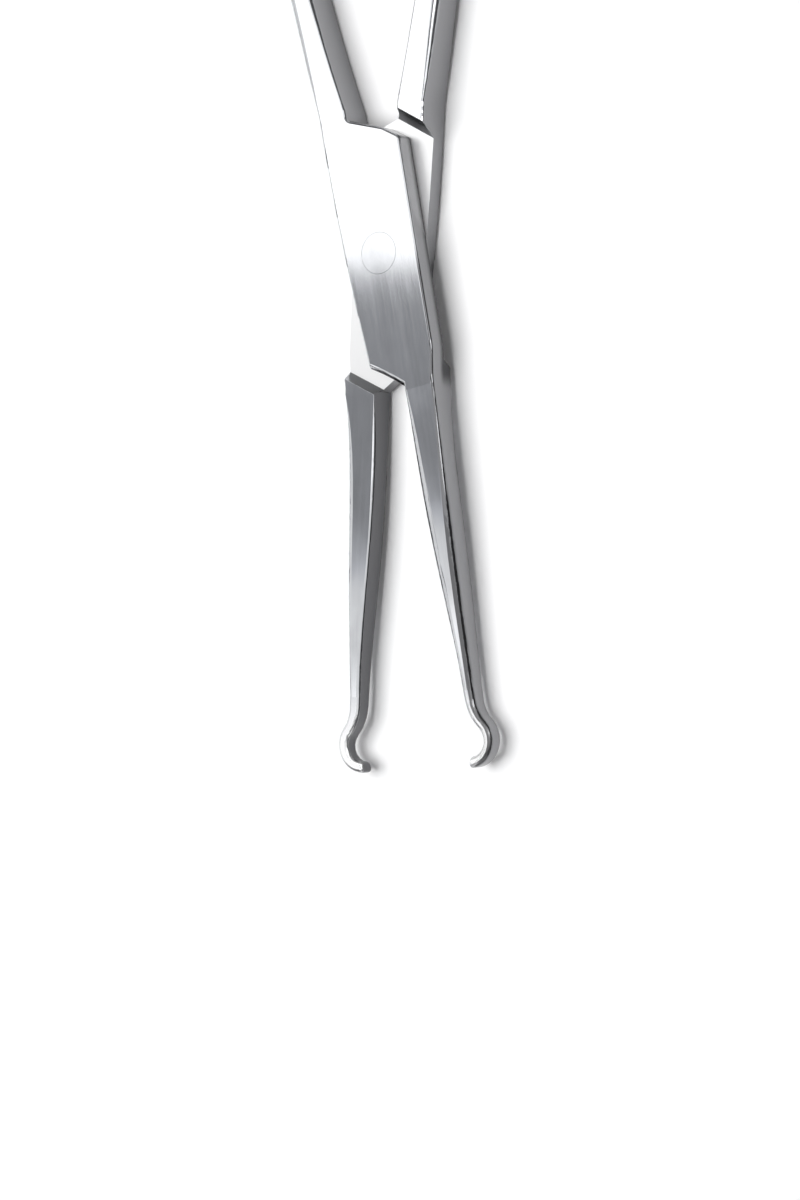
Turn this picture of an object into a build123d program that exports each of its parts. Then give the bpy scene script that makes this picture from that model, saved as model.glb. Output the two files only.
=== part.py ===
from build123d import *
from math import asin, cos, degrees, radians, sin, tan
import os

# Ring-handled holding forceps with a lap joint and small open C-shaped jaw tips.
#
# Millimetres. The origin lies on the pivot axis in the plane that the forceps rests on. +Y runs
# up the handles, -Y along the jaws, and +Z points out of the front plate. The two forged halves
# have the same shape: the rear one is the front one turned half a turn about the long axis. A
# half is built in the closed pose, where the jaw tips meet on x = 0, and is then opened by the
# rest angle.

# Joint: two plates that lap over each other round one flush rivet
joint_thickness = 4.7
lap_gap = 0.06
plate_right = 5.25
plate_top = 15.57
plate_top_angle = 24.0
plate_top_corner = 12.6
plate_bottom = 12.8
plate_bottom_left = 3.85
plate_bottom_slope = 0.72
plate_bottom_bulge = 0.15
plate_corner_cut = 2.1
plate_corner_radius = 0.6
plate_corner_rise = 1.3
side_blend_pull = 1.6
step_fillet_radius = 0.9
step_chamfer = 0.45
edge_radius = 0.35
cut_overrun = 3.0

# Shoulders beyond each end of the lap, where a half regains its full thickness
upper_shoulder_angle = 25.5
upper_ramp_run = 1.5
lower_shoulder_angle = 22.3
lower_ramp_run = 1.3
nesting_clearance = 0.25

# Rivet, fast in the rear half and free to turn in the front half
rivet_radius = 1.6
rivet_head_radius = 2.4
rivet_head_angle = 90.0
running_clearance = 0.04

# Jaw: a tapering bar from its root at the joint down to the neck of the tip
jaw_length = 60.4
jaw_root_y = 16.4
jaw_root_inner = 0.5
jaw_root_width = 4.1
jaw_lap_side_depth = 1.35
jaw_swell_y = 22.0
jaw_swell_inner = 0.15
jaw_swell_width = 4.05
jaw_swell_thickness = 3.55
jaw_waist_share = 0.58
jaw_waist_inner = 0.4
jaw_waist_width = 2.75
jaw_waist_thickness = 3.4
jaw_waist_lap_share = 0.45
neck_inner = 0.85
neck_length = 1.15
throat_length = 3.5
throat_growth = 1.1
sharp_rounding = 0.05

# Roundings of the bars' corners: inner lap side, outer lap side, outer plate side, inner plate side
jaw_swell_rounding = (0.3, 0.8, 0.4, 1.0)
jaw_waist_rounding = (0.3, 0.7, 0.8, 1.15)
tip_rounding = (0.45, 0.45, 0.7, 0.7)
hook_end_rounding = (0.4, 0.4, 0.45, 0.8)
shank_neck_rounding = (0.9, 0.35, 0.45, 1.0)

# Jaw tip: a blunt tapering hook that closes with its twin to a small oval ring
tip_width = 1.55
tip_thickness = 2.45
hook_end_width = 1.3
hook_end_thickness = 1.95
hook_end_radius = 0.35
tip_gap = 0.3
hook_radius = 2.5
hook_flare_radius = 5.0
hook_flare_angle = 36.6

# Shank: a slender bowed bar from the joint to the finger ring
shank_root_y = 17.6
shank_root_inner = 1.6
shank_root_width = 3.8
shank_neck_y = 30.0
shank_neck_inner = 3.55
shank_neck_width = 3.3
shank_bow_share = 0.54
shank_bow_inner = 5.6
shank_bow_width = 3.1
shank_top_drop = 4.4
shank_top_inner = 6.6
shank_top_width = 3.8
shank_end_overlap = 6.6
shank_end_inner = 5.4
shank_end_width = 4.4
shank_rounding = 1.1

# Finger ring
handle_length = 119.6
ring_inner_width = 21.6
ring_inner_length = 28.8
ring_wall = 4.2
ring_gap = 2.4
ring_rounding = 1.7

# Ratchet: a toothed bar on each shank that passes over its twin
ratchet_drop = 5.4
ratchet_width = 5.0
ratchet_reach = 4.6
ratchet_embed = 1.0
ratchet_teeth = 3
ratchet_pitch = 2.4
ratchet_tooth_height = 0.75
ratchet_gap = 0.24
ratchet_back_step = 0.3
ratchet_end_radius = 1.5

# Pose: each half is turned this far from closed when the forceps lies at rest
rest_angle = 7.0

# Places that follow from the sizes
middle = joint_thickness / 2
plate_level = middle + lap_gap / 2
jaw_lap_side = middle - jaw_lap_side_depth
jaw_waist_back = middle - jaw_waist_lap_share * jaw_waist_thickness
tip_back = middle - tip_thickness / 2
tip_front = middle + tip_thickness / 2
half_span = plate_right + cut_overrun
flare_rise = (hook_flare_radius + hook_radius) * sin(radians(hook_flare_angle))
neck_y = jaw_length - tip_width / 2 - hook_radius - flare_rise - neck_length
jaw_waist_y = jaw_swell_y + jaw_waist_share * (neck_y - jaw_swell_y)
ring_centre = (
    -(ring_gap / 2 + ring_wall + ring_inner_width / 2),
    handle_length - ring_wall - ring_inner_length / 2,
)
ring_bottom = handle_length - 2 * ring_wall - ring_inner_length
shank_top_y = ring_bottom - shank_top_drop
shank_bow_y = shank_root_y + shank_bow_share * (shank_top_y - shank_root_y)
ratchet_y = ring_bottom - ratchet_drop


def bar_section(plane, inner, outer, back, front, radii):
    """Section of a bar across the given plane, with a rounding for each corner."""
    with BuildSketch(plane) as section:
        with BuildLine():
            FilletPolyline(
                (inner, back), (outer, back), (outer, front), (inner, front),
                radius=radii, close=True,
            )
        make_face()
    return section.sketch


def top_step_y(x):
    """Height of the sloping upper end of the plate."""
    return plate_top - tan(radians(plate_top_angle)) * x


def bottom_step_y(x):
    """Height of the sloping lower end of the plate."""
    return -plate_bottom - plate_bottom_slope * (x + plate_bottom_left)


def lap_outline(level, upper_run, lower_run):
    """Outline of the cut for the twin's plate, its ends moved out by the runs of the ramps.

    In the closed pose each shoulder line clears the end of the twin's plate where they are
    nearest, at the inner edge of the shank above and of the jaw below.
    """
    upper_slope = tan(radians(upper_shoulder_angle))
    lower_slope = tan(radians(lower_shoulder_angle))
    upper_y = top_step_y(shank_root_inner) + nesting_clearance + upper_slope * shank_root_inner
    lower_y = -bottom_step_y(-jaw_root_inner) + nesting_clearance + lower_slope * jaw_root_inner
    upper_y = upper_y + upper_run / cos(radians(upper_shoulder_angle))
    lower_y = lower_y + lower_run / cos(radians(lower_shoulder_angle))
    with BuildSketch(Plane.XY.offset(level)) as outline:
        with BuildLine():
            Polyline(
                (-half_span, upper_y - upper_slope * half_span),
                (half_span, upper_y + upper_slope * half_span),
                (half_span, -lower_y + lower_slope * half_span),
                (-half_span, -lower_y - lower_slope * half_span),
                close=True,
            )
        make_face()
    return outline.sketch


# Finger ring: an oval bow, well rounded inside and out
with BuildPart() as finger_ring:
    with BuildSketch():
        with Locations(ring_centre):
            Ellipse(ring_inner_width / 2 + ring_wall, ring_inner_length / 2 + ring_wall)
            Ellipse(ring_inner_width / 2, ring_inner_length / 2, mode=Mode.SUBTRACT)
    extrude(amount=joint_thickness)
    fillet(finger_ring.edges().filter_by(GeomType.ELLIPSE), radius=ring_rounding)

# One half in the closed pose: plate first, then jaw, shank, ring and ratchet bar
with BuildPart() as half:
    with BuildSketch() as plate_outline:
        with BuildLine():
            upper_corner_x = plate_right - plate_corner_cut
            shank_inner_root = (-shank_root_inner, shank_root_y)
            shank_outer_root = (-shank_root_inner - shank_root_width, shank_root_y)
            jaw_inner_root = (jaw_root_inner, -jaw_root_y)
            outer_edge = TangentArc(
                shank_outer_root, (-plate_bottom_left, -plate_bottom), tangent=(0, -1)
            )
            step_middle_x = (jaw_root_inner - plate_bottom_left) / 2
            lower_step = ThreePointArc(
                outer_edge @ 1,
                (step_middle_x, bottom_step_y(step_middle_x) + plate_bottom_bulge),
                (jaw_root_inner, bottom_step_y(jaw_root_inner)),
            )
            jaw_root = Polyline(
                lower_step @ 1, jaw_inner_root, (jaw_root_inner + jaw_root_width, -jaw_root_y)
            )
            side_start = (plate_right, plate_corner_rise - plate_bottom)
            side_blend = Bezier(
                jaw_root @ 1,
                (jaw_root_inner + jaw_root_width, -jaw_root_y + side_blend_pull),
                (plate_right, plate_corner_rise - plate_bottom - side_blend_pull),
                side_start,
            )
            Polyline(
                side_blend @ 1,
                (plate_right, plate_top_corner),
                (upper_corner_x, top_step_y(upper_corner_x)),
                (-shank_root_inner, top_step_y(-shank_root_inner)),
                shank_inner_root,
                shank_outer_root,
            )
        make_face()
        corners = plate_outline.vertices()
        fillet(corners.sort_by_distance((plate_right, plate_top_corner))[0], plate_corner_radius)
        corners = plate_outline.vertices()
        fillet(
            corners.sort_by_distance((-shank_root_inner, top_step_y(-shank_root_inner)))[0],
            step_fillet_radius,
        )
    extrude(amount=joint_thickness)
    step_edge = half.edges().group_by(Axis.Z)[-1].sort_by_distance(
        (step_middle_x, bottom_step_y(step_middle_x), joint_thickness)
    )[0]
    chamfer(step_edge, length=step_chamfer)
    outline_edges = half.edges().group_by(Axis.Z)[0] + half.edges().group_by(Axis.Z)[-1]
    fillet(
        outline_edges.filter_by_position(
            Axis.Y, -jaw_root_y, shank_root_y, inclusive=(False, False)
        ),
        radius=edge_radius,
    )

    # Cut for the twin's plate, with a ramp up to the full thickness at each end
    loft(
        sections=[lap_outline(plate_level, 0, 0), lap_outline(0, upper_ramp_run, lower_ramp_run)],
        ruled=True,
        mode=Mode.SUBTRACT,
    )

    # The jaw is set back on the lap side, from the shoulder down
    with BuildSketch():
        with Locations((0, -plate_bottom)):
            Rectangle(2 * half_span, 2 * jaw_root_y, align=(Align.CENTER, Align.MAX))
    extrude(amount=jaw_lap_side, mode=Mode.SUBTRACT)

    # Jaw, tapering in width and thickness down to the neck
    jaw_stations = [
        (
            jaw_root_y, jaw_root_inner, jaw_root_width, jaw_lap_side, joint_thickness,
            (sharp_rounding, sharp_rounding, edge_radius, edge_radius),
        ),
        (
            jaw_swell_y, jaw_swell_inner, jaw_swell_width,
            jaw_lap_side, jaw_lap_side + jaw_swell_thickness, jaw_swell_rounding,
        ),
        (
            jaw_waist_y, jaw_waist_inner, jaw_waist_width,
            jaw_waist_back, jaw_waist_back + jaw_waist_thickness, jaw_waist_rounding,
        ),
        (
            neck_y - throat_length, neck_inner, throat_growth * tip_width,
            middle - throat_growth * tip_thickness / 2,
            middle + throat_growth * tip_thickness / 2, tip_rounding,
        ),
        (neck_y, neck_inner, tip_width, tip_back, tip_front, tip_rounding),
    ]
    jaw_sections = [
        bar_section(Plane.XZ.offset(y), inner, inner + width, back, front, radii)
        for y, inner, width, back, front, radii in jaw_stations
    ]
    loft(sections=jaw_sections)

    # Hooked tip: it flares outward, then curls back to meet its twin, tapering all the way
    neck_x = neck_inner + tip_width / 2
    curl_centre_x = (
        neck_x
        + hook_flare_radius
        - (hook_flare_radius + hook_radius) * cos(radians(hook_flare_angle))
    )
    curl_past_bottom = degrees(asin((curl_centre_x - tip_gap / 2) / hook_radius))
    with BuildLine() as hook_path:
        neck_line = Line((neck_x, -neck_y, middle), (neck_x, -neck_y - neck_length, middle))
        flare = JernArc(neck_line @ 1, (0, -1, 0), hook_flare_radius, hook_flare_angle)
        curl = JernArc(
            flare @ 1, flare % 1, hook_radius, -(hook_flare_angle + 90 + curl_past_bottom)
        )
    end_direction = curl % 1
    end_section = bar_section(
        Plane(curl @ 1, x_dir=(-end_direction.Y, end_direction.X, 0), z_dir=end_direction),
        -hook_end_width / 2, hook_end_width / 2,
        -hook_end_thickness / 2, hook_end_thickness / 2, hook_end_rounding,
    )
    sweep(sections=[jaw_sections[-1], end_section], path=hook_path.wires()[0], multisection=True)
    tip_end = half.faces().sort_by_distance(curl @ 1)[0]
    fillet(tip_end.edges(), radius=hook_end_radius)

    # Shank, bowed outward and then in again to meet the finger ring
    soft_corners = (shank_rounding, shank_rounding, shank_rounding, shank_rounding)
    root_corners = (edge_radius, edge_radius, edge_radius, edge_radius)
    shank_stations = [
        (shank_root_y, shank_root_inner, shank_root_width, root_corners),
        (shank_neck_y, shank_neck_inner, shank_neck_width, shank_neck_rounding),
        (shank_bow_y, shank_bow_inner, shank_bow_width, soft_corners),
        (shank_top_y, shank_top_inner, shank_top_width, soft_corners),
        (ring_bottom + shank_end_overlap, shank_end_inner, shank_end_width, soft_corners),
    ]
    loft(
        sections=[
            bar_section(Plane.XZ.offset(-y), -inner - width, -inner, 0, joint_thickness, radii)
            for y, inner, width, radii in shank_stations
        ]
    )
    add(finger_ring.part)

    # Ratchet bar with saw teeth on its rear face
    tooth_base = middle + ratchet_gap / 2 + ratchet_tooth_height
    with BuildSketch(Plane.XY.offset(tooth_base)) as bar_plan:
        with Locations((ratchet_reach, ratchet_y)):
            Rectangle(
                ratchet_reach + shank_top_inner + ratchet_embed,
                ratchet_width,
                align=(Align.MAX, Align.CENTER),
            )
        fillet(bar_plan.vertices().group_by(Axis.X)[-1], ratchet_end_radius)
    extrude(amount=joint_thickness - ratchet_back_step - tooth_base)
    with BuildSketch(Plane.XZ.offset(-ratchet_y - ratchet_width / 2)) as teeth:
        for tooth in range(ratchet_teeth):
            crest_x = ratchet_reach - ratchet_end_radius - (tooth + 1) * ratchet_pitch
            with BuildLine():
                Polyline(
                    (crest_x, tooth_base),
                    (crest_x, tooth_base - ratchet_tooth_height),
                    (crest_x + ratchet_pitch, tooth_base),
                    close=True,
                )
            make_face()
    extrude(amount=ratchet_width)

# The front half turns on the rivet with a running clearance
front_shape = half.part.rotate(Axis.Z, rest_angle)
with BuildPart() as front_half:
    add(front_shape)
    with Locations((0, 0, joint_thickness)):
        CounterSinkHole(
            rivet_radius + running_clearance,
            rivet_head_radius + running_clearance,
            counter_sink_angle=rivet_head_angle,
        )
front_half.part.label = "front_half"

# The rear half is the same forging turned over about the long axis, with the rivet fast in it
rear_shape = half.part.rotate(Axis.Y, 180).translate((0, 0, joint_thickness))
with BuildPart() as rear_half:
    add(rear_shape.rotate(Axis.Z, -rest_angle))
    with Locations(Location((0, 0, 0), (180, 0, 0))):
        CounterSinkHole(rivet_radius, rivet_head_radius, counter_sink_angle=rivet_head_angle)
rear_half.part.label = "rear_half"

# Rivet with a countersunk head at each end, ground flush with the plates
head_depth = (rivet_head_radius - rivet_radius) / tan(radians(rivet_head_angle / 2))
with BuildPart() as joint_rivet:
    with BuildSketch(Plane.XZ):
        with BuildLine():
            Polyline(
                (0, 0),
                (rivet_head_radius, 0),
                (rivet_radius, head_depth),
                (rivet_radius, joint_thickness - head_depth),
                (rivet_head_radius, joint_thickness),
                (0, joint_thickness),
                close=True,
            )
        make_face()
    revolve(axis=Axis.Z)
joint_rivet.part.label = "joint_rivet"

os.makedirs("parts", exist_ok=True)
export_step(front_half.part, "parts/front_half.step")
export_step(rear_half.part, "parts/rear_half.step")
export_step(joint_rivet.part, "parts/joint_rivet.step")
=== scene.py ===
# %% [markdown]
# # Ring-handled holding forceps in satin steel
# The real object is two steel forgings and one rivet, ground, polished and then brushed satin.
# The measured solids come in as a fixed frame, and every surface keeps its exact place, so this
# lesson is about finishes, studio and camera. The frame goes first, since all else hangs on it.

import math

import bpy
from mathutils import Matrix, Vector

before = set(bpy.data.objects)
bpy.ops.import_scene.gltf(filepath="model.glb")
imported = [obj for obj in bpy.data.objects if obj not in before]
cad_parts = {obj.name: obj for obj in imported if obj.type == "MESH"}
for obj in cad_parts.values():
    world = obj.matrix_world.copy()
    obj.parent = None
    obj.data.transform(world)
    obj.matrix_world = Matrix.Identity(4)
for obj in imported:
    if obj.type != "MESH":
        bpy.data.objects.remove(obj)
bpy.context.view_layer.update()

# %% [markdown]
# ## Small helpers for shader nodes
# A finish is a network of nodes. Writing each one by hand takes three lines, so one helper adds a
# node with its settings, one joins two sockets, and one sets plain values by their socket's name.
# A fourth starts a group, which is a small network that several finishes can share.

# %% Node helpers
def add_node(tree, kind, place=(0, 0), **settings):
    """Add a node of this kind at a place in the node editor."""
    node = tree.nodes.new(kind)
    node.location = place
    for name, value in settings.items():
        setattr(node, name, value)
    return node


def feed(tree, source, target):
    """Join an output socket to an input socket."""
    tree.links.new(source, target)


def set_inputs(node, **values):
    """Set plain input values, with an underscore for each space in a socket's name."""
    for name, value in values.items():
        node.inputs[name.replace("_", " ")].default_value = value


def start_group(title, inputs, outputs):
    """Start a node group with these number sockets, and give back its tree and both its ends."""
    tree = bpy.data.node_groups.new(title, "ShaderNodeTree")
    for name in inputs:
        tree.interface.new_socket(name, in_out="INPUT", socket_type="NodeSocketFloat")
    for name in outputs:
        tree.interface.new_socket(name, in_out="OUTPUT", socket_type="NodeSocketFloat")
    start = add_node(tree, "NodeGroupInput", (-1200, -200))
    end = add_node(tree, "NodeGroupOutput", (700, 0))
    return tree, start, end


print("node helpers ready for Blender", bpy.app.version_string)

# %% [markdown]
# ## Helpers for masks
# A mask is a number from 0 to 1 that says where a finish shows. Three moves make nearly all of
# them: a slope between two values, one value multiplied by another, and a colour or a number laid
# over what is there. The slope is eased at both ends where a hard start would show as a line.

# %% Mask helpers
def slope(tree, place, value, first, last, low=0.0, high=1.0, eased=True):
    """Go from low to high while the value goes from first to last."""
    kind = "SMOOTHSTEP" if eased else "LINEAR"
    node = add_node(tree, "ShaderNodeMapRange", place, interpolation_type=kind)
    set_inputs(node, From_Min=first, From_Max=last, To_Min=low, To_Max=high)
    feed(tree, value, node.inputs["Value"])
    return node.outputs["Result"]


def multiply(tree, place, first, second, clamped=False):
    """Multiply a socket by another socket, or by a plain number."""
    node = add_node(tree, "ShaderNodeMath", place, operation="MULTIPLY", use_clamp=clamped)
    feed(tree, first, node.inputs[0])
    if isinstance(second, float):
        node.inputs[1].default_value = second
    else:
        feed(tree, second, node.inputs[1])
    return node.outputs["Value"]


def lay_over(tree, place, mask, base, over):
    """Show a colour or a number over the base wherever the mask is 1."""
    if isinstance(over, tuple):
        node = add_node(tree, "ShaderNodeMix", place, data_type="RGBA")
        under_socket, over_socket, result, over = 6, 7, 2, (*over, 1.0)
    else:
        node = add_node(tree, "ShaderNodeMix", place, data_type="FLOAT")
        under_socket, over_socket, result = 2, 3, 0
    feed(tree, mask, node.inputs[0])
    feed(tree, base, node.inputs[under_socket])
    node.inputs[over_socket].default_value = over
    return node.outputs[result]


print("mask helpers ready:", slope.__name__, multiply.__name__, lay_over.__name__)

# %% [markdown]
# ## Brushed grain, shared by every steel finish
# Satin steel is brushed along its length, so its scratches are long and hair thin. They could be
# an image, but a noise stretched along one axis has no seams and never repeats. It is used by
# more than one finish, so it is a group with named inputs: how the part lies, and how fine.

# %% Brushed grain group
# Each layer's name, its waves per metre across, along and through the part, and its octaves
grain_layers = (
    ("Hairlines", (9000.0, 160.0, 9000.0), 2.0),
    ("Streaks", (2200.0, 60.0, 2200.0), 3.0),
    ("Clouds", (300.0, 130.0, 300.0), 3.0),
)
octave_strength = 0.6


def make_grain_group():
    """Three noises of different sizes, all stretched along the part."""
    names = [layer[0] for layer in grain_layers]
    tree, start, end = start_group("Brushed grain", ("Turn", "Fineness"), names)
    place = add_node(tree, "ShaderNodeTexCoord", (-1200, 300))
    turned = add_node(tree, "ShaderNodeVectorRotate", (-1000, 200), rotation_type="Z_AXIS")
    feed(tree, place.outputs["Object"], turned.inputs["Vector"])
    feed(tree, start.outputs["Turn"], turned.inputs["Angle"])
    for row, (name, waves, octaves) in enumerate(grain_layers):
        y = 300 - 300 * row
        stretched = add_node(tree, "ShaderNodeVectorMath", (-760, y), operation="MULTIPLY")
        stretched.inputs[1].default_value = waves
        sized = add_node(tree, "ShaderNodeVectorMath", (-560, y), operation="SCALE")
        noise = add_node(tree, "ShaderNodeTexNoise", (-300, y), label=name)
        set_inputs(noise, Scale=1.0, Detail=octaves, Roughness=octave_strength)
        feed(tree, turned.outputs["Vector"], stretched.inputs[0])
        feed(tree, stretched.outputs["Vector"], sized.inputs[0])
        feed(tree, start.outputs["Fineness"], sized.inputs["Scale"])
        feed(tree, sized.outputs["Vector"], noise.inputs["Vector"])
        feed(tree, noise.outputs["Fac"], end.inputs[name])
    return tree


grain_group = make_grain_group()
print("grain group sockets", [socket.name for socket in grain_group.interface.items_tree])

# %% [markdown]
# ## Wear and painted highlights on the edges, shared by every steel finish
# Handling polishes the corners first, so a used instrument shows thin bright lines along its
# edges; here they are partly that wear and partly a painted highlight, as if the rounded edges
# caught the light. A rounded normal compared with the true one says how near an edge a point
# is, at any angle of view, and without painting a mask by hand. The rivet is ground flush with
# the plates, so the rim round its head is no corner that a hand can reach, and a small circle
# about the pivot is left out.

# %% Group for wear and painted highlights on edges
wear_and_highlight_radius = 0.00022
bevel_samples = 6
edge_likeness = (0.985, 0.90)  # from none to full wear and painted highlight
unmarked_circle = (0.0030, 0.0033)  # metres from the pivot


def make_edge_group():
    """A mask for wear and painted highlights on edges, broken up by a value that the material
    gives.
    """
    tree, start, end = start_group("Edge wear and highlight", ("Breakup",), ("Edge",))
    soft = add_node(tree, "ShaderNodeBevel", (-900, 100), samples=bevel_samples)
    set_inputs(soft, Radius=wear_and_highlight_radius)
    flat = add_node(tree, "ShaderNodeNewGeometry", (-900, -100))
    likeness = add_node(tree, "ShaderNodeVectorMath", (-650, 50), operation="DOT_PRODUCT")
    feed(tree, soft.outputs["Normal"], likeness.inputs[0])
    feed(tree, flat.outputs["Normal"], likeness.inputs[1])
    near_edge = slope(tree, (-400, 50), likeness.outputs["Value"], *edge_likeness, eased=False)
    broken = multiply(tree, (-150, 0), near_edge, start.outputs["Breakup"])

    place = add_node(tree, "ShaderNodeTexCoord", (-900, -400))
    level = add_node(tree, "ShaderNodeVectorMath", (-650, -400), operation="MULTIPLY")
    level.inputs[1].default_value = (1.0, 1.0, 0.0)
    feed(tree, place.outputs["Object"], level.inputs[0])
    radius = add_node(tree, "ShaderNodeVectorMath", (-450, -400), operation="LENGTH")
    feed(tree, level.outputs["Vector"], radius.inputs[0])
    outside = slope(tree, (-250, -400), radius.outputs["Value"], *unmarked_circle, eased=False)
    feed(tree, multiply(tree, (150, -100), broken, outside), end.inputs["Edge"])
    return tree


edge_group = make_edge_group()
print("edge group ready:", edge_group.name)

# %% [markdown]
# ## Lap faces, and the painted shade in the seam
# The two plates slide on each other, so the faces between them are machined flat and left duller
# than the polished outside, and their paler colour is a painted highlight. They lie at one
# height, which is enough to find them without choosing faces by hand. The same group gives a
# mask for the lowest part of a wall that stands on such a face, inside the joint only, and there
# a painted shade darkens the seam. The other option, a dark strip of geometry in the seam, would
# change a part that is fixed.

# %% Lap face group
lap_tolerance = 0.00003
seam_shade_heights = (0.0009, 0.0)  # metres over the lap face, from no painted shade to full
joint_reach = (0.0165, 0.0145)  # metres from the pivot, from no painted shade to full


def make_lap_group():
    """Masks for the lap face at a given height, and for the painted shade in the seam along it.
    """
    tree, start, end = start_group("Lap face", ("Height",), ("Lap", "Seam"))
    place = add_node(tree, "ShaderNodeTexCoord", (-900, 200))
    spot = add_node(tree, "ShaderNodeSeparateXYZ", (-700, 200))
    feed(tree, place.outputs["Object"], spot.inputs["Vector"])
    near = add_node(tree, "ShaderNodeMath", (-450, 200), operation="COMPARE")
    near.inputs[2].default_value = lap_tolerance
    above = add_node(tree, "ShaderNodeMath", (-450, 0), operation="SUBTRACT")
    for node in (near, above):
        feed(tree, spot.outputs["Z"], node.inputs[0])
        feed(tree, start.outputs["Height"], node.inputs[1])
    feed(tree, near.outputs["Value"], end.inputs["Lap"])

    reach = add_node(tree, "ShaderNodeMath", (-450, -200), operation="ABSOLUTE")
    feed(tree, spot.outputs["Y"], reach.inputs[0])
    low = slope(tree, (-250, 0), above.outputs["Value"], *seam_shade_heights)
    in_joint = slope(tree, (-250, -200), reach.outputs["Value"], *joint_reach)
    feed(tree, multiply(tree, (100, -100), low, in_joint), end.inputs["Seam"])
    return tree


lap_group = make_lap_group()
print("lap group ready:", lap_group.name)

# %% [markdown]
# ## Sides, with painted shade
# The broad faces of the forgings are polished last, after the grinding belt. Their narrow sides
# are darker, a painted shade, and the inner sides of the jaws darkest of all. The outer shoulder,
# where a face rolls over into its side, is darkened with a painted shade on the half that lies
# on top. The hooks are too small for the belt and are tumbled, which leaves them paler and
# softer. The object's own normals tell a side or a shoulder from a face, and its own coordinates
# tell the jaw from the shank, in any pose. An input called Inward says which way the jaw's inner
# side looks, so one group serves both halves.

# %% Side group
# Each pair is where a mask starts and where it is full. First the height of the normal, where
# 1 is straight up: going over the edge from the top face, and from the underside
side_from_top = (0.75, 0.15)
side_from_underside = (-0.98, -0.88)
# The shoulder's normal: how far it leans outward, and how far up it still points
shoulder_lean = (-0.05, -0.22)
shoulder_lift = (0.15, 0.5)
# Places along the forceps in metres, with the pivot at 0 and the tips below it
inner_jaw_start = (-0.012, -0.016)
shoulder_start = (0.001, -0.003)
hook_start = (-0.050, -0.057)


def make_side_group():
    """Painted shade masks for sides, inner jaw and outer shoulder, and a mask for the hook."""
    outputs = ("Side", "Inner jaw shade", "Outer shoulder shade", "Hook")
    tree, start, end = start_group("Side faces", ("Inward",), outputs)
    place = add_node(tree, "ShaderNodeTexCoord", (-900, 200))
    tilt = add_node(tree, "ShaderNodeSeparateXYZ", (-700, 300))
    spot = add_node(tree, "ShaderNodeSeparateXYZ", (-700, 0))
    feed(tree, place.outputs["Normal"], tilt.inputs["Vector"])
    feed(tree, place.outputs["Object"], spot.inputs["Vector"])
    lift, along_part = tilt.outputs["Z"], spot.outputs["Y"]

    not_up = slope(tree, (-450, 500), lift, *side_from_top)
    not_down = slope(tree, (-450, 250), lift, *side_from_underside)
    side = multiply(tree, (-250, 350), not_up, not_down)
    feed(tree, side, end.inputs["Side"])

    inward = multiply(
        tree, (-450, 0), tilt.outputs["X"], start.outputs["Inward"], clamped=True
    )
    jaw = slope(tree, (-250, 50), along_part, *inner_jaw_start)
    inner_jaw = multiply(tree, (0, 100), inward, jaw)
    feed(tree, multiply(tree, (250, 150), inner_jaw, side), end.inputs["Inner jaw shade"])

    outward = multiply(tree, (-450, -250), tilt.outputs["X"], start.outputs["Inward"])
    leaning = slope(tree, (-250, -200), outward, *shoulder_lean)
    upward = slope(tree, (-250, -450), lift, *shoulder_lift)
    shoulder = multiply(tree, (0, -200), leaning, upward)
    on_jaw = slope(tree, (0, -450), along_part, *shoulder_start)
    feed(tree, multiply(tree, (250, -200), shoulder, on_jaw), end.inputs["Outer shoulder shade"])

    feed(tree, slope(tree, (250, -450), along_part, *hook_start), end.inputs["Hook"])
    return tree


side_group = make_side_group()
print("side group ready:", side_group.name)

# %% [markdown]
# ## The colour and roughness of each place
# Stainless steel reflects a nearly neutral grey, a little darker and paler in clouds and streaks.
# Each mask then lays its own colour and roughness over that, and where two masks meet, the later
# row of the table shows. The paler lap faces are a painted highlight, the paler edges are wear
# and a painted highlight, and the dark sides, inner jaws, shoulders and seams are painted shade.
# The dark bands of painted shade come last, so that they lie over everything. The chain of nodes
# could be written out by hand, but two tables are easier to read and to change.

# %% Colour and roughness layers
steel_shade = (0.60, 0.61, 0.63)
noise_swing = (0.3, 0.7)  # what a noise mostly stays between
cloud_tones = (0.91, 1.05)
streak_tones = (0.98, 1.025)
streak_roughness = (0.85, 1.18)
colour_layers = (
    # a paler colour: a painted highlight
    ("Lap", (0.80, 0.80, 0.80)),
    ("Hook", (0.84, 0.84, 0.845)),
    # wear, and a painted highlight
    ("Edge", (0.86, 0.87, 0.88)),
    # from here on, painted shade
    ("Side", (0.275, 0.275, 0.283)),
    ("Inner jaw shade", (0.12, 0.12, 0.125)),
    ("Outer shoulder shade", (0.07, 0.07, 0.073)),
    ("Seam", (0.05, 0.05, 0.052)),
)
painted_shade_bands = ("Outer shoulder shade", "Seam")  # painted shade, only as strong as the finish asks for
roughness_layers = (("Lap", 0.36), ("Side", 0.22), ("Edge", 0.36), ("Hook", 0.26))


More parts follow.
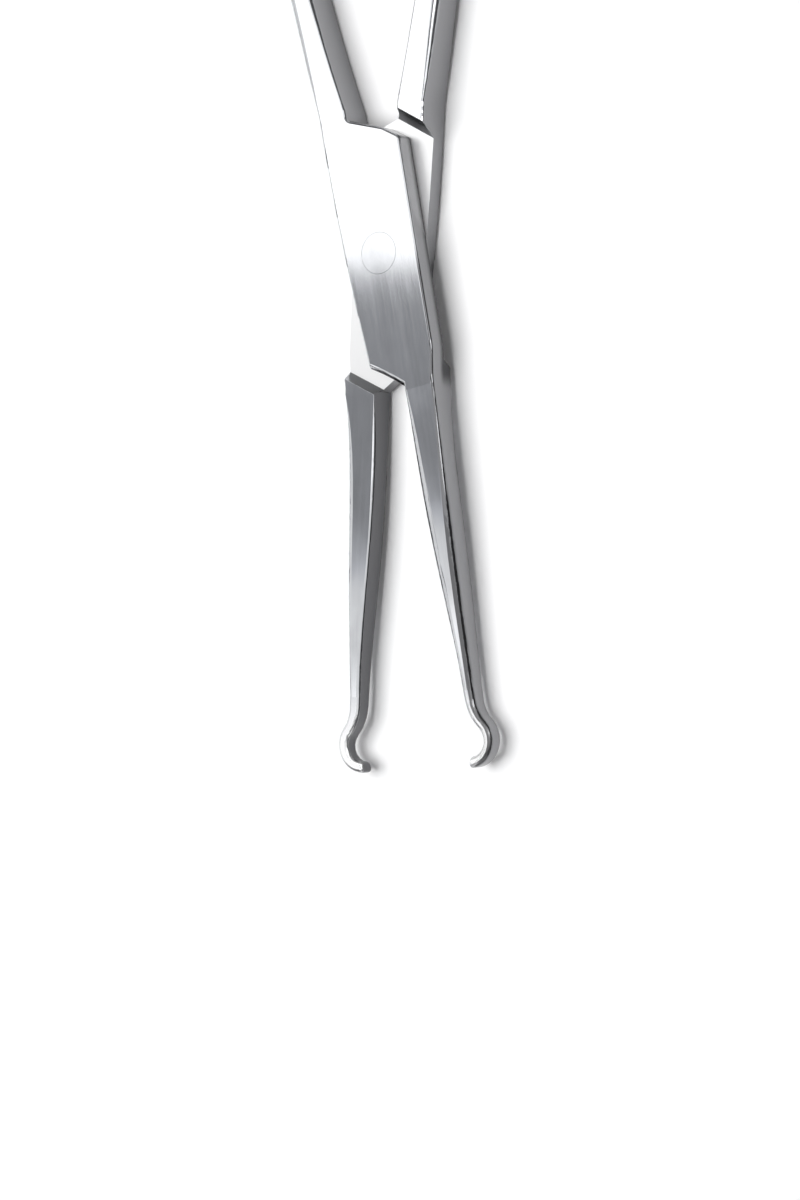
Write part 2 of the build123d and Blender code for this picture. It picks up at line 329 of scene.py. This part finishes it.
def steel_colour(tree, marks, shade_strength):
    """Clouded and streaked steel, with each mark's colour laid over it, painted shade among them.
    """
    clouds = slope(tree, (-700, 500), marks["Clouds"], *noise_swing, *cloud_tones, eased=False)
    streaks = slope(tree, (-700, 750), marks["Streaks"], *noise_swing, *streak_tones, eased=False)
    tone = multiply(tree, (-500, 600), clouds, streaks)
    tinted = add_node(
        tree, "ShaderNodeMix", (-300, 500), data_type="RGBA", blend_type="MULTIPLY"
    )
    tinted.inputs[0].default_value = 1.0
    tinted.inputs[6].default_value = (*steel_shade, 1.0)
    feed(tree, tone, tinted.inputs[7])
    colour = tinted.outputs[2]
    for step, (name, own_colour) in enumerate(colour_layers):
        mask = marks[name]
        if name in painted_shade_bands:
            mask = multiply(tree, (-100 + 170 * step, 750), mask, shade_strength)
        colour = lay_over(tree, (-100 + 170 * step, 500), mask, colour, own_colour)
    return colour


def steel_roughness(tree, marks, rough):
    """Roughness that varies from streak to streak, with each mark's own laid over it."""
    smoothest, roughest = (rough * share for share in streak_roughness)
    roughness = slope(
        tree, (-700, 50), marks["Streaks"], *noise_swing, smoothest, roughest, eased=False
    )
    for step, (name, own_roughness) in enumerate(roughness_layers):
        place = (-300 + 170 * step, 50)
        roughness = lay_over(tree, place, marks[name], roughness, own_roughness)
    return roughness


print("colours over", steel_shade, ":", [layer[0] for layer in colour_layers])
print("roughness layers:", roughness_layers)

# %% [markdown]
# ## Satin steel
# Steel is a metal, so its picture is mostly its surroundings. What makes it satin is roughness
# that varies from streak to streak, with a very shallow relief. Each half lies turned from the
# long axis, and its grain is turned with it. The rivet's heads were ground with the plates, and
# the one on top takes the front half's grain. The dark bands of painted shade in the seam and on
# the shoulder show on the front half only.

# %% Satin steel finish
half_turn = 7.0
relief_depth = 0.00001


def place_groups(tree, turn, lap_height, inward):
    """Place the four shared groups, and give back every mark they put out, by name."""
    grain = add_node(tree, "ShaderNodeGroup", (-1100, 500), node_tree=grain_group)
    set_inputs(grain, Turn=math.radians(turn), Fineness=1.0)
    edge = add_node(tree, "ShaderNodeGroup", (-900, 250), node_tree=edge_group)
    feed(tree, grain.outputs["Streaks"], edge.inputs["Breakup"])
    lap = add_node(tree, "ShaderNodeGroup", (-900, 1100), node_tree=lap_group)
    set_inputs(lap, Height=lap_height)
    sides = add_node(tree, "ShaderNodeGroup", (-900, 950), node_tree=side_group)
    set_inputs(sides, Inward=inward)
    return {mark.name: mark for node in (grain, edge, lap, sides) for mark in node.outputs}


def satin_steel(name, turn, rough, relief, lap_height, inward, shade_strength):
    """A brushed steel for one piece, whose grain is turned by a number of degrees."""
    material = bpy.data.materials.new(name)
    material.use_nodes = True
    tree = material.node_tree
    tree.nodes.clear()
    out = add_node(tree, "ShaderNodeOutputMaterial", (1500, 300))
    steel = add_node(tree, "ShaderNodeBsdfPrincipled", (1200, 300))
    set_inputs(steel, Metallic=1.0, IOR=1.5)
    feed(tree, steel.outputs["BSDF"], out.inputs["Surface"])

    marks = place_groups(tree, turn, lap_height, inward)
    feed(tree, steel_colour(tree, marks, shade_strength), steel.inputs["Base Color"])
    feed(tree, steel_roughness(tree, marks, rough), steel.inputs["Roughness"])

    height = add_node(tree, "ShaderNodeMath", (-300, -250), operation="ADD")
    feed(tree, marks["Hairlines"], height.inputs[0])
    feed(tree, marks["Streaks"], height.inputs[1])
    bump = add_node(tree, "ShaderNodeBump", (600, -250))
    set_inputs(bump, Strength=relief, Distance=relief_depth)
    feed(tree, height.outputs["Value"], bump.inputs["Height"])
    feed(tree, bump.outputs["Normal"], steel.inputs["Normal"])
    return material


print("satin steel ready, its relief", relief_depth * 1000, "mm deep at most")

# %% [markdown]
# ## A finish for each piece
# The two halves are one forging used twice, so they share all but their turn, the height of their
# lap face, the side that looks inward and the strength of their painted shade, which only the
# front half shows. The rivet has neither a lap face nor an inner side, so its lap height is set
# where there is no steel, and its Inward is 0.

# %% Finish the three pieces
def finish_node(node, material):
    """Give a node of the frame this material and no other."""
    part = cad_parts[node]
    part.data.materials.clear()
    part.data.materials.append(material)
    print(node, "is finished in", material.name)


front_steel = satin_steel(
    "Front half steel", turn=-half_turn, rough=0.085, relief=0.055,
    lap_height=0.00238, inward=-1.0, shade_strength=0.85,
)
rear_steel = satin_steel(
    "Rear half steel", turn=half_turn, rough=0.085, relief=0.055,
    lap_height=0.00232, inward=1.0, shade_strength=0.0,
)
rivet_steel = satin_steel(
    "Rivet ground steel", turn=-half_turn, rough=0.09, relief=0.06,
    lap_height=-1.0, inward=0.0, shade_strength=0.0,
)
finish_node("front_half", front_steel)
finish_node("rear_half", rear_steel)
finish_node("joint_rivet", rivet_steel)

# %% [markdown]
# ## The pale floor
# The photograph was taken on a bright table, with only a soft shadow close to the steel. Plain
# white paint under plain light stays a little under white, so the floor also shines faintly for
# the camera and in the steel. Most of its brightness is still paint, which keeps the shadows.

# %% Floor
floor_size = 6.0
floor_drop = 0.00003  # keeps the table just below the steel that rests on it
floor_colour = (0.95, 0.95, 0.955, 1.0)
floor_glow = 0.06

bpy.ops.object.select_all(action="DESELECT")
bpy.ops.mesh.primitive_plane_add(size=floor_size, location=(0.0, 0.0, -floor_drop))
floor = bpy.context.active_object
floor.name = "studio_floor"
paper = bpy.data.materials.new("White table")
paper.use_nodes = True
sheet = paper.node_tree
sheet.nodes.clear()
sheet_out = add_node(sheet, "ShaderNodeOutputMaterial", (600, 0))
paint = add_node(sheet, "ShaderNodeBsdfDiffuse", (0, 0))
paint.inputs["Color"].default_value = floor_colour
shine = add_node(sheet, "ShaderNodeEmission", (0, -200))
shine.inputs["Color"].default_value = (1.0, 1.0, 1.0, 1.0)
path = add_node(sheet, "ShaderNodeLightPath", (-600, -200))
seen = add_node(sheet, "ShaderNodeMath", (-400, -200), operation="MAXIMUM")
through = add_node(sheet, "ShaderNodeMath", (-250, -200), operation="MAXIMUM")
feed(sheet, path.outputs["Is Camera Ray"], seen.inputs[0])
feed(sheet, path.outputs["Is Glossy Ray"], seen.inputs[1])
feed(sheet, seen.outputs["Value"], through.inputs[0])
feed(sheet, path.outputs["Is Transmission Ray"], through.inputs[1])
glow = multiply(sheet, (-120, -200), through.outputs["Value"], floor_glow)
feed(sheet, glow, shine.inputs["Strength"])
both = add_node(sheet, "ShaderNodeAddShader", (300, 0))
feed(sheet, paint.outputs["BSDF"], both.inputs[0])
feed(sheet, shine.outputs["Emission"], both.inputs[1])
feed(sheet, both.outputs["Shader"], sheet_out.inputs["Surface"])
floor.data.materials.append(paper)
print("floor at z", floor.location.z)

# %% [markdown]
# ## Camera
# The photograph looks at the flat forceps from about 35 degrees to the right of square, from
# 35 cm, with the long axis turned 4 degrees. The direction to the camera is built from those
# angles, and the camera slides sideways until the pivot falls where the photograph has it.

# %% Camera at the photograph's angle
photo_width, photo_height = 800, 1200
look_angle = math.radians(35.0)
axis_turn = math.radians(4.0)
distance = 0.350
pixels_per_metre = 8670.0
pivot_pixel = (378.5, 253.0)
pivot = Vector((0.0, 0.0, 0.0047))  # on top of the joint
overhead = Vector((0, 0, 1))

across = Vector((math.cos(axis_turn), -math.sin(axis_turn), 0.0))
along = Vector((math.sin(axis_turn), math.cos(axis_turn), 0.0))
back = (math.sin(look_angle) * across + math.cos(look_angle) * overhead).normalized()
right = along.cross(back).normalized()
up = back.cross(right)
slide_right = (pivot_pixel[0] - photo_width / 2) / pixels_per_metre
slide_up = -(pivot_pixel[1] - photo_height / 2) / pixels_per_metre
camera_data = bpy.data.cameras.new("camera")
camera = bpy.data.objects.new("camera", camera_data)
bpy.context.scene.collection.objects.link(camera)
camera_place = pivot - slide_right * right - slide_up * up + distance * back
camera_turn = Matrix((right, up, back)).transposed().to_4x4()
camera.matrix_world = Matrix.Translation(camera_place) @ camera_turn
camera_data.sensor_width = 36.0
half_height = photo_height / 2 / (distance * pixels_per_metre)
camera_data.lens = camera_data.sensor_width / 2 / half_height
camera_data.clip_start = 0.01
camera_data.clip_end = 20.0
camera_data.dof.use_dof = False
bpy.context.scene.camera = camera
bpy.context.scene.view_settings.view_transform = "Standard"
print("camera at", [round(v, 4) for v in camera_place], "lens", round(camera_data.lens, 2))

# %% [markdown]
# ## A dim room and a lamp helper
# The room itself is a dim grey, which keeps the shadows and the mirrored gaps between the lamps
# dark. Every lamp in it is a flat rectangle, as a softbox is. Blender asks for its power in
# watts, but what counts on steel is how bright its face looks, so the helper takes that
# brightness and works out the power from the size.

# %% World and lamp helper
room_colour = (0.12, 0.12, 0.123, 1.0)

room = bpy.data.worlds.new("Plain room")
room.use_nodes = True
room_light = room.node_tree.nodes["Background"]
set_inputs(room_light, Color=room_colour, Strength=1.0)
bpy.context.scene.world = room
print("room as bright as", room_colour[:3])


def hang_lamp(name, place, facing, width, length, level_seen):
    """A flat lamp whose face is as bright as level_seen, its length along the forceps."""
    lamp = bpy.data.lights.new(name, "AREA")
    lamp.shape = "RECTANGLE"
    lamp.size = width
    lamp.size_y = length
    lamp.energy = level_seen * math.pi * width * length
    holder = bpy.data.objects.new(name, lamp)
    bpy.context.scene.collection.objects.link(holder)
    side = along.cross(facing).normalized()
    lengthwise = facing.cross(side)
    turn = Matrix((side, lengthwise, facing)).transposed().to_4x4()
    holder.matrix_world = Matrix.Translation(place) @ turn
    print(name, "power", round(lamp.energy, 2), "W")
    return holder


# %% [markdown]
# ## Panels for the steel to mirror
# Steel shows what it faces, so its light is laid out by mirrored direction. The camera looks in
# from the right, so every flat face mirrors a place on the upper left, and going down the forceps
# that place moves from the head end to the foot end of the studio. Panels are set out there, each
# half a metre off: a bright one for the joint and the shanks, a grey one for the satin grey of
# the lower plate, a few narrow steps that make the grey of the jaws pass softly into white, and a
# bright one for the tips. The panels on the right and overhead are for the rounded edges, which
# mirror the whole arc between the two. One softbox with a gradient would be the other option, but
# separate panels can be placed and set one at a time. None of them lights the table.

# %% Panels
panel_distance = 0.5
cool_grey = (0.965, 0.985, 1.035)
# Name, lean from overhead in degrees with the right side positive, foot and head along the
# forceps and width in metres, and the brightness of its face
panels = (
    ("joint_panel", -35.0, 0.053, 0.33, 0.32, 2.0),
    ("joint_top_panel", 2.0, 0.085, 0.33, 0.34, 1.3),
    ("grey_panel", -35.0, 0.020, 0.053, 0.32, 0.25),
    ("grey_low", -35.0, -0.008, 0.020, 0.32, 0.215),
    ("grey_step_1", -35.0, -0.018, -0.008, 0.32, 0.29),
    ("grey_step_2", -35.0, -0.028, -0.018, 0.32, 0.45),
    ("grey_step_3", -35.0, -0.038, -0.028, 0.32, 0.62),
    ("jaw_panel", -35.0, -0.084, -0.038, 0.32, 0.90),
    ("tip_step", -35.0, -0.094, -0.084, 0.32, 1.12),
    ("tip_panel", -35.0, -0.24, -0.094, 0.32, 1.4),
    ("left_panel", -70.0, -0.24, 0.62, 0.28, 0.9),
    ("right_panel", 38.0, 0.14, 0.33, 0.30, 1.2),
    ("recess_panel", 38.0, 0.060, 0.14, 0.30, 5.0),
    ("shank_panel", 16.0, 0.0, 0.058, 0.62, 1.5),
    ("low_right_panel", 16.0, -0.24, 0.0, 0.62, 0.9),
)


def hang_panel(name, lean, foot, head, width, level_seen):
    """A panel leaning over the forceps, from foot to head along it."""
    lean = math.radians(lean)
    facing = math.sin(lean) * across + math.cos(lean) * overhead
    place = pivot + panel_distance * facing + (foot + head) / 2 * along
    return hang_lamp(name, place, facing, width, head - foot, level_seen)


for name, lean, foot, head, width, level_seen in panels:
    panel = hang_panel(name, lean, foot, head, width, level_seen)
    panel.visible_diffuse = False
    if name.startswith("grey"):
        panel.data.color = cool_grey

# %% [markdown]
# ## End walls
# Seen from either end, the flat faces mirror the far end of the studio instead of the panels, and
# would turn as dark as the room. A dim wall past each end keeps them light. It stands more than a
# metre off and lights nothing else.

# %% End walls
wall_distance = 1.1
wall_reach, wall_rise = 0.83, 0.56  # along the forceps, and up
wall_width, wall_length = 1.0, 0.7

for name, end_side, level_seen in (("jaw_end_wall", -1.0, 0.7), ("ring_end_wall", 1.0, 0.25)):
    wall_direction = (wall_reach * end_side * along + wall_rise * overhead).normalized()
    wall_place = wall_direction * wall_distance
    wall = hang_lamp(name, wall_place, wall_direction, wall_width, wall_length, level_seen)
    wall.visible_diffuse = False

# %% [markdown]
# ## Key lamp
# A wide lamp near overhead lights the table and draws the short soft shadows to the right of the
# steel. The steel doesn't mirror it, so it adds no hot spots.

# %% Key lamp
view_middle = -0.04 * along
key_lean, key_rise = -0.17, 0.985  # across, where minus is left, and up
key_distance = 0.6
key_width, key_length = 0.54, 0.44
key_level = 5.6

key_direction = (key_lean * across + key_rise * overhead).normalized()
key_place = view_middle + key_distance * key_direction
key_lamp = hang_lamp("key_lamp", key_place, key_direction, key_width, key_length, key_level)
key_lamp.visible_glossy = False
